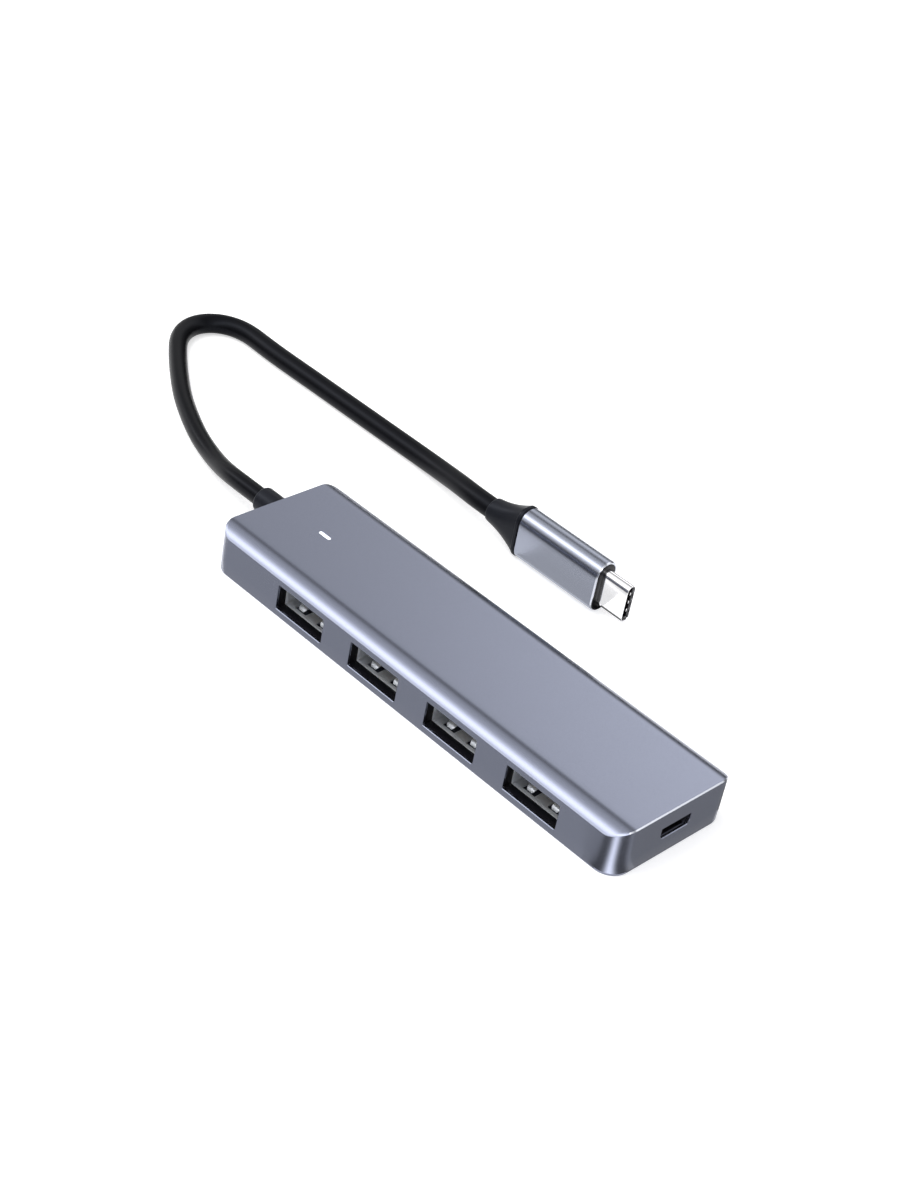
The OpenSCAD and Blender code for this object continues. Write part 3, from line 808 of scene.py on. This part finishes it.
def cord_loops(line, wide, thin, lean, count):
    """Oval loops round a line: centre + a cos(v) along the leaning long axis + b sin(v)
    along the short one."""
    _, level, upward = cord_frames(line)
    v = np.linspace(0, 2 * pi, count, endpoint=False)
    p, q = wide / 2 * np.cos(v), thin / 2 * np.sin(v)
    along_level = p * cos(lean) - q * sin(lean)
    along_up = p * sin(lean) + q * cos(lean)
    return (line[:, None] + along_level[None, :, None] * level[:, None]
            + along_up[None, :, None] * upward[:, None])


class HUB_OT_build_cord(Operator):
    """Build the cord's oval jacket along its route"""
    bl_idname = "hub.build_cord"
    bl_label = "Cord"

    def execute(self, context):
        settings = context.scene.hub_cord
        line = spline(CORD_ROUTE, 8)
        rows = cord_loops(line, settings.wide / MM, settings.thin / MM, settings.lean,
                          settings.sides)
        jacket = new_piece("cord_jacket", closed_loft(rows),
                           [soft_jacket("cord_jacket", settings.jacket)])
        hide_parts("cord")
        return {"FINISHED"}


class HUB_OT_build_boot(Operator):
    """Build the boot at the cord's exit, and finish the crimp ring and the wires"""
    bl_idname = "hub.build_boot"
    bl_label = "Boot"

    def execute(self, context):
        low, high = BOOT_LOW, BOOT_HIGH
        radius, ease, bore = BOOT_RADIUS, 0.7, 1.5
        outer_step, bore_step = low[0] + 4, low[0] + 4.5
        flange = (high[1] - low[1]) / 2
        flange_start = CASE_LOW[0] + context.scene.hub_case.wall / MM
        turn = np.linspace(0, pi / 2, 9)
        profile = np.concatenate([
            [(low[0], bore), (low[0], radius - ease - 0.2)],
            np.stack([low[0] + ease * (1 - np.sin(turn)),
                      radius - ease * (1 - np.cos(turn))], -1)[::-1],
            [(outer_step, radius), (flange_start, radius), (flange_start, flange),
             (high[0], flange), (high[0], bore), (bore_step, bore), (low[0], bore)]])
        v = np.linspace(0, 2 * pi, 72, endpoint=False)
        middle = (low + high) / 2
        rows = np.stack([
            np.broadcast_to(profile[:, 0, None], (len(profile), len(v))),
            middle[1] + profile[:, 1, None] * np.cos(v),
            middle[2] + profile[:, 1, None] * np.sin(v)], -1)
        rubber = soft_jacket("boot_rubber", context.scene.hub_cord.relief)
        boot = new_piece("boot", [grid_sheet(rows, True)], [rubber])
        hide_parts("cable_boot")
        dress(["cable_ferrule"], plated_steel("ferrule_steel", (0.6, 0.6, 0.62), 0.3))
        dress(["cable_wires", "plug_wires"],
              grained("wire_insulation", (0.45, 0.02, 0.02), 0, 0.35, 0.2, 0.002))
        return {"FINISHED"}


# ---------- plug ----------

COLLAR_THICKNESS = 0.8
PLUG_CENTRE = middle_mm("plug_sleeve")[1:]


def relief_rows(collar_x):
    """The strain relief's flare: a short round shoulder where the cord enters, and then loops
    that go from nearly round to a rounded oblong as they widen, slowly at first and faster
    towards the sleeve."""
    start_d, shoulder_drop, shoulder_l = 5.2, 1.0, 0.35
    end_t, end_w = (SLEEVE_HIGH - SLEEVE_LOW)[1:]
    u = np.linspace(0, 1, 6)[:-1]
    s = np.linspace(0, 1, 22)[1:]
    grow = 0.35 * s + 0.65 * s ** 2
    shoulder = start_d - shoulder_drop * (1 - np.sqrt(1 - (1 - u) ** 2))
    x = RELIEF_LOW[0] + np.concatenate([shoulder_l * u, s * (collar_x - RELIEF_LOW[0])])
    t = np.concatenate([shoulder, start_d + (end_t - start_d) * grow])
    w = np.concatenate([shoulder, start_d + (end_w - start_d) * grow])
    power = 1 - 0.35 * np.concatenate([0 * u, grow])
    return oblong_rows(x, t, w, power)


def oblong_rows(x, thickness, width, power):
    """Loops of superellipses: y = t/2 |cos v|^p and z = w/2 |sin v|^p, with the signs of
    the cosine and sine. A power of 1 is an ellipse, and a lower one is squarer."""
    v = np.linspace(0, 2 * pi, 96, endpoint=False)
    y0, z0 = PLUG_CENTRE
    c, s = np.cos(v), np.sin(v)
    p = power[:, None]
    y = y0 + np.sign(c) * np.abs(c) ** p * thickness[:, None] / 2
    z = z0 + np.sign(s) * np.abs(s) ** p * width[:, None] / 2
    return np.stack([np.broadcast_to(x[:, None], y.shape), y, z], -1)


def bar_rows(stations, radius):
    """Loops of a rounded oblong along the plug: stations are (x, inset), and a loop's corner
    radius shrinks with its inset."""
    t, w = (SLEEVE_HIGH - SLEEVE_LOW)[1:]
    loops = [oblong(t - 2 * inset, w - 2 * inset, max(radius - inset, 0.05), 10, 8)
             + PLUG_CENTRE for _, inset in stations]
    return along_x(loops, [x for x, _ in stations])


class HUB_OT_build_plug(Operator):
    """Build the plug: strain relief, sleeve, nose and bright tip"""
    bl_idname = "hub.build_plug"
    bl_label = "Plug"

    def execute(self, context):
        settings = context.scene.hub_plug
        radius, rim = settings.corner / MM, settings.rim / MM
        rubber = soft_jacket("relief_rubber", context.scene.hub_cord.relief)
        plastic = moulded_plastic("nose_plastic", context.scene.hub_socket.plastic, 0.35)
        # Partly painted light: the sleeve's metal uses the lighter sleeve colour, which paints in
        # the brighter light on its face.
        metal = blasted_metal("sleeve_metal", settings.sleeve, 0.26)
        bright = cut_metal("sleeve_rim", context.scene.hub_case.cut_metal)
        chrome = plated_steel("tip_chrome", settings.chrome, 0.09, (6, 1, 1))
        start, end = SLEEVE_LOW[0], SLEEVE_HIGH[0]
        collar = start - COLLAR_THICKNESS

        relief_sheets = closed_loft(relief_rows(collar))
        collar_rows = bar_rows([(collar, 0.1), (collar + 0.02, -0.05), (collar + 0.15, -0.15),
                                (start - 0.12, -0.15), (start, -0.05)], radius)
        relief = new_piece("relief", relief_sheets + closed_loft(collar_rows), [rubber])
        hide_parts("plug_strain_relief")

        wall = 0.5
        stations = [(start + rim, wall), (start, wall), (start, rim), (start + rim, 0.04),
                    (start + rim + 0.05, 0), ((start + end) / 2, 0), (end - rim - 0.05, 0),
                    (end - rim, 0.04), (end, rim), (end, wall), (end - rim, wall)]
        rows = bar_rows(stations, radius)
        count = rows.shape[1]
        slots = np.zeros((len(rows) - 1, count), int)
        slots[[1, 2, 7, 8]] = 1
        sleeve = new_piece("sleeve", [grid_sheet(rows, True, slots.ravel()),
                                      grid_sheet(rows[[-1, 0]], True)], [metal, bright])
        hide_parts("plug_sleeve")

        softened("plug_core", "nose", 0.45, plastic, 4)
        softened("plug_tip_shell", "tip", 0.1, chrome, 3)
        softened("plug_insulator", "tip_core", 0.06, plastic)
        softened("plug_ground_springs", "ground_springs", 0.05, chrome)
        dress(["plug_latches"], chrome)
        dress(["plug_contacts"],
              plated_steel("plug_gold", context.scene.hub_socket.gold, 0.2))
        return {"FINISHED"}


# ---------- inside ----------

class HUB_OT_dress_inside(Operator):
    """Give the boards and their components their finishes"""
    bl_idname = "hub.dress_inside"
    bl_label = "Boards"

    def execute(self, context):
        dress(["circuit_board", "plug_board"], solder_mask("solder_mask"))
        dress(["hub_controller", "power_regulator", "port_switches", "resistors", "inductor"],
              moulded_plastic("chip_package", (0.012, 0.012, 0.014), 0.5))
        dress(["capacitors"], grained("ceramic", (0.42, 0.28, 0.15), 0, 0.4, 0.3, 0.002))
        dress(["crystal"], plated_steel("crystal_can", (0.6, 0.6, 0.62), 0.25))
        return {"FINISHED"}


# ---------- stage ----------

BAND_HEIGHT = 0.2
FAN_HEIGHT = 0.5
BEAM_TURN = -50


def seen_directly(nodes, links):
    """1 for rays from the camera and for those that a mirror or a clear piece passes on."""
    path = nodes.new("ShaderNodeLightPath")
    first = nodes.new("ShaderNodeMath")
    first.operation = "MAXIMUM"
    links.new(path.outputs["Is Camera Ray"], first.inputs[0])
    links.new(path.outputs["Is Glossy Ray"], first.inputs[1])
    second = nodes.new("ShaderNodeMath")
    second.operation = "MAXIMUM"
    links.new(first.outputs[0], second.inputs[0])
    links.new(path.outputs["Is Transmission Ray"], second.inputs[1])
    return second.outputs[0]


def white_world(diffuse_light):
    """A white surround for what is seen or mirrored, and a soft even light for the rest."""
    world = bpy.data.worlds.new("studio")
    bpy.context.scene.world = world
    world.use_nodes = True
    nodes, links = world.node_tree.nodes, world.node_tree.links
    background = nodes["Background"]
    background.inputs["Color"].default_value = (1, 1, 1, 1)
    level = nodes.new("ShaderNodeMapRange")
    level.inputs["To Min"].default_value = diffuse_light
    level.inputs["To Max"].default_value = 1
    links.new(seen_directly(nodes, links), level.inputs["Value"])
    links.new(level.outputs["Result"], background.inputs["Strength"])


def floor_material(base, glow):
    """A pale floor that keeps shadows: a plain diffuse surface with a little light added
    where it is seen or mirrored, which lifts it to white."""
    material, shader = shader_material("floor", base, 0, 0.9, Specular_IOR_Level=0.0)
    nodes, links = material.node_tree.nodes, material.node_tree.links
    shader.inputs["Emission Color"].default_value = (1, 1, 1, 1)
    level = nodes.new("ShaderNodeMath")
    level.operation = "MULTIPLY"
    level.inputs[1].default_value = glow
    links.new(seen_directly(nodes, links), level.inputs[0])
    links.new(level.outputs[0], shader.inputs["Emission Strength"])
    return material


def place_camera(settings):
    """A camera that looks at the target from the settings' angles: its axis points from it
    to the target, and its right and up directions are turned about that axis by the roll."""
    az, el, roll = settings.azimuth, settings.elevation, settings.roll
    forward = Vector((-sin(az) * cos(el), cos(az) * cos(el), -sin(el)))
    level = forward.cross(Vector((0, 0, 1))).normalized()
    upright = level.cross(forward)
    right = cos(roll) * level + sin(roll) * upright
    up = -sin(roll) * level + cos(roll) * upright
    data = bpy.data.cameras.new("view")
    data.sensor_width = 36
    data.sensor_fit = "HORIZONTAL"
    data.lens = settings.lens
    data.clip_start = 0.01
    camera = bpy.data.objects.new("view", data)
    place = Matrix((right, up, -forward)).transposed().to_4x4()
    place.translation = Vector(settings.target) - settings.distance * forward
    camera.matrix_world = place
    bpy.context.scene.collection.objects.link(camera)
    bpy.context.scene.camera = camera


def softbox(name, direction, distance, size, power, target):
    """A rectangular lamp in a direction from the target, facing it."""
    data = bpy.data.lights.new(name, "AREA")
    data.shape = "RECTANGLE"
    data.size, data.size_y = size
    data.energy = power
    lamp = bpy.data.objects.new(name, data)
    aim = Vector(direction).normalized()
    lamp.location = Vector(target) + distance * aim
    lamp.rotation_euler = aim.to_track_quat("Z", "Y").to_euler()
    lamp.visible_glossy = False
    bpy.context.scene.collection.objects.link(lamp)


def card(name, points, levels):
    """A card that only shiny surfaces see: a grid of (rows, columns, 3) points in
    millimetres, and each point's brightness. 0 is black, and 1 is as bright as the white
    surround."""
    points, faces, _ = grid_sheet(points)
    mesh = bpy.data.meshes.new(name)
    mesh.from_pydata((points * MM).tolist(), [], faces.tolist())
    level = mesh.attributes.new("level", "FLOAT", "POINT")
    level.data.foreach_set("value", np.asarray(levels, np.float32).ravel())
    material = bpy.data.materials.new(name)
    material.use_nodes = True
    nodes, links = material.node_tree.nodes, material.node_tree.links
    nodes.remove(nodes["Principled BSDF"])
    light = nodes.new("ShaderNodeEmission")
    painted = nodes.new("ShaderNodeAttribute")
    painted.attribute_name = "level"
    links.new(painted.outputs["Fac"], light.inputs["Strength"])
    links.new(light.outputs["Emission"], nodes["Material Output"].inputs["Surface"])
    mesh.materials.append(material)
    piece = bpy.data.objects.new(name, mesh)
    piece.visible_camera = False
    piece.visible_diffuse = False
    piece.visible_shadow = False
    piece.visible_transmission = False
    bpy.context.scene.collection.objects.link(piece)


def hump(value, middle, width):
    """1 at the middle, falling off on both sides as exp(-((value - middle) / width)^2)."""
    return np.exp(-((value - middle) / width) ** 2)


def rise(value, start, end):
    """0 before start, 1 after end, and a smooth step 3t^2-2t^3 between them."""
    t = np.clip((value - start) / (end - start), 0, 1)
    return t * t * (3 - 2 * t)


def tent():
    """The graded tent above the hub: a half cylinder about the X axis. Seen from straight up,
    angles go towards +Y. It is white, with a black stripe that edges the top's reflection,
    a bright one for the front roll, a dark horizon on both sides, and a glow over the
    inlet's end."""
    turn = np.radians(np.linspace(-89, 89, 179))[:, None]
    x = np.linspace(-1500, 900, 97)[None, :]
    degrees_up = np.degrees(turn)
    stripe = 0.9 * hump(degrees_up, 27, 9)
    roll_glow = 3.8 * hump(degrees_up, -32, 13)
    end_glow = 1.1 * hump(degrees_up, 50, 11) * rise(x, -420, -120)
    back_horizon = 1 - 0.92 * rise(degrees_up, 58, 76)
    front_horizon = 1 - 0.95 * rise(-degrees_up, 62, 78)
    levels = (1 - stripe + roll_glow + end_glow) * back_horizon * front_horizon
    radius, darkest = 500, 0.02
    points = np.broadcast_arrays(x, radius * np.sin(turn), radius * np.cos(turn))
    card("tent", np.stack(points, -1), np.maximum(levels, darkest))


def floor_band(name, low, high, inner, side):
    """A card on the floor along one side of the case or of the plug, between two corners. Its
    brightness is inner beside the metal and goes to 1 at the far edge, on the named side."""
    share = np.linspace(0, 1, 25)
    xs = low[0] + (high[0] - low[0]) * share
    ys = low[1] + (high[1] - low[1]) * share
    x, y = np.meshgrid(xs, ys)
    away = {"+x": x - low[0], "-y": high[1] - y, "+y": y - low[1]}[side]
    levels = inner + (1 - inner) * rise(away, 0.55 * away.max(), away.max())
    card(name, np.stack([x, y, np.full(x.shape, BAND_HEIGHT)], -1), levels)


def corner_fan(centre, outer):
    """A card on the floor that fans out from an upright corner: dark, with a bright beam
    that the round corner mirrors as an upright highlight."""
    turn = np.linspace(-125, 25, 61)[None, :]
    radius = np.linspace(3, outer, 9)[:, None]
    beam = 3.0 * hump(turn, BEAM_TURN, 13)
    sides = 0.4 * rise(np.abs(turn - BEAM_TURN), 40, 68)
    levels = 0.2 + beam + sides
    x = centre[0] + radius * np.cos(np.radians(turn))
    y = centre[1] + radius * np.sin(np.radians(turn))
    card("corner_fan", np.stack([x, y, np.full(x.shape, FAN_HEIGHT)], -1),
         np.broadcast_to(levels, x.shape))


class HUB_OT_build_stage(Operator):
    """Set the camera, the floor, the lamp and the cards that the metal mirrors"""
    bl_idname = "hub.build_stage"
    bl_label = "Stage"

    def execute(self, context):
        settings = context.scene.hub_stage
        place_camera(settings)
        white_world(diffuse_light=0.6)
        half = 3.0
        mesh = bpy.data.meshes.new("floor")
        mesh.from_pydata([(-half, -half, 0), (half, -half, 0), (half, half, 0),
                          (-half, half, 0)], [], [(0, 1, 2, 3)])
        mesh.materials.append(floor_material(settings.floor_color, glow=0.55))
        floor = bpy.data.objects.new("floor", mesh)
        context.scene.collection.objects.link(floor)
        softbox("overhead", direction=(-0.45, -0.35, 0.85), distance=1.0, size=(1.2, 0.9),
                power=9, target=settings.target)

        left, right = CASE_LOW[0], CASE_HIGH[0]
        front, back = CASE_LOW[1], CASE_HIGH[1]
        corner = context.scene.hub_case.corner / MM
        tent()
        floor_band("front_floor", (left - 10, front - 26), (right - corner, front), 0.7, "-y")
        floor_band("end_floor", (right, front + corner), (right + 26, back + 30), 0.42, "+x")
        floor_band("back_floor", (left - 10, back), (right, back + 12), 0.15, "+y")
        corner_fan((right - corner, front + corner), 28)
        floor_band("plug_floor", (SLEEVE_LOW[0], back + 13), (SLEEVE_HIGH[0], SLEEVE_LOW[1]), 0.9,
                   "-y")
        floor_band("tip_floor", (SLEEVE_HIGH[0], TIP_LOW[1] - 2.5),
                   (TIP_HIGH[0] + 1, TIP_HIGH[1]), 0.02, "-y")
        context.scene.view_settings.view_transform = "Standard"
        return {"FINISHED"}


# ---------- panel and registration ----------

class HUB_PT_builder(Panel):
    """Lists the hub's pieces in the 3D view's sidebar"""
    bl_idname = "HUB_PT_builder"
    bl_label = "Bar hub"
    bl_space_type = "VIEW_3D"
    bl_region_type = "UI"
    bl_category = "Hub"

    def draw(self, context):
        for operator in OPERATORS:
            self.layout.operator(operator.bl_idname)


SETTINGS = {
    "hub_stage": HubStageSettings,
    "hub_case": HubCaseSettings,
    "hub_socket": HubSocketSettings,
    "hub_light": HubLightSettings,
    "hub_cord": HubCordSettings,
    "hub_plug": HubPlugSettings,
}
OPERATORS = (HUB_OT_build_stage, HUB_OT_build_boot, HUB_OT_build_plug, HUB_OT_build_cord,
             HUB_OT_build_case, HUB_OT_build_sockets, HUB_OT_build_power_inlet,
             HUB_OT_build_light, HUB_OT_dress_inside)


def register():
    """Registers the settings, the operators and the panel."""
    for name, group in SETTINGS.items():
        bpy.utils.register_class(group)
        setattr(bpy.types.Scene, name, PointerProperty(type=group))
    for part in (*OPERATORS, HUB_PT_builder):
        bpy.utils.register_class(part)


def unregister():
    """Removes what register added."""
    for part in reversed((*OPERATORS, HUB_PT_builder)):
        bpy.utils.unregister_class(part)
    for name, group in SETTINGS.items():
        delattr(bpy.types.Scene, name)
        bpy.utils.unregister_class(group)


def main():
    register()
    bpy.ops.hub.build_stage()
    bpy.ops.hub.build_boot()
    bpy.ops.hub.build_plug()
    bpy.ops.hub.build_cord()
    bpy.ops.hub.build_case()
    bpy.ops.hub.build_sockets()
    bpy.ops.hub.build_power_inlet()
    bpy.ops.hub.build_light()
    bpy.ops.hub.dress_inside()


if __name__ == "__main__":
    main()
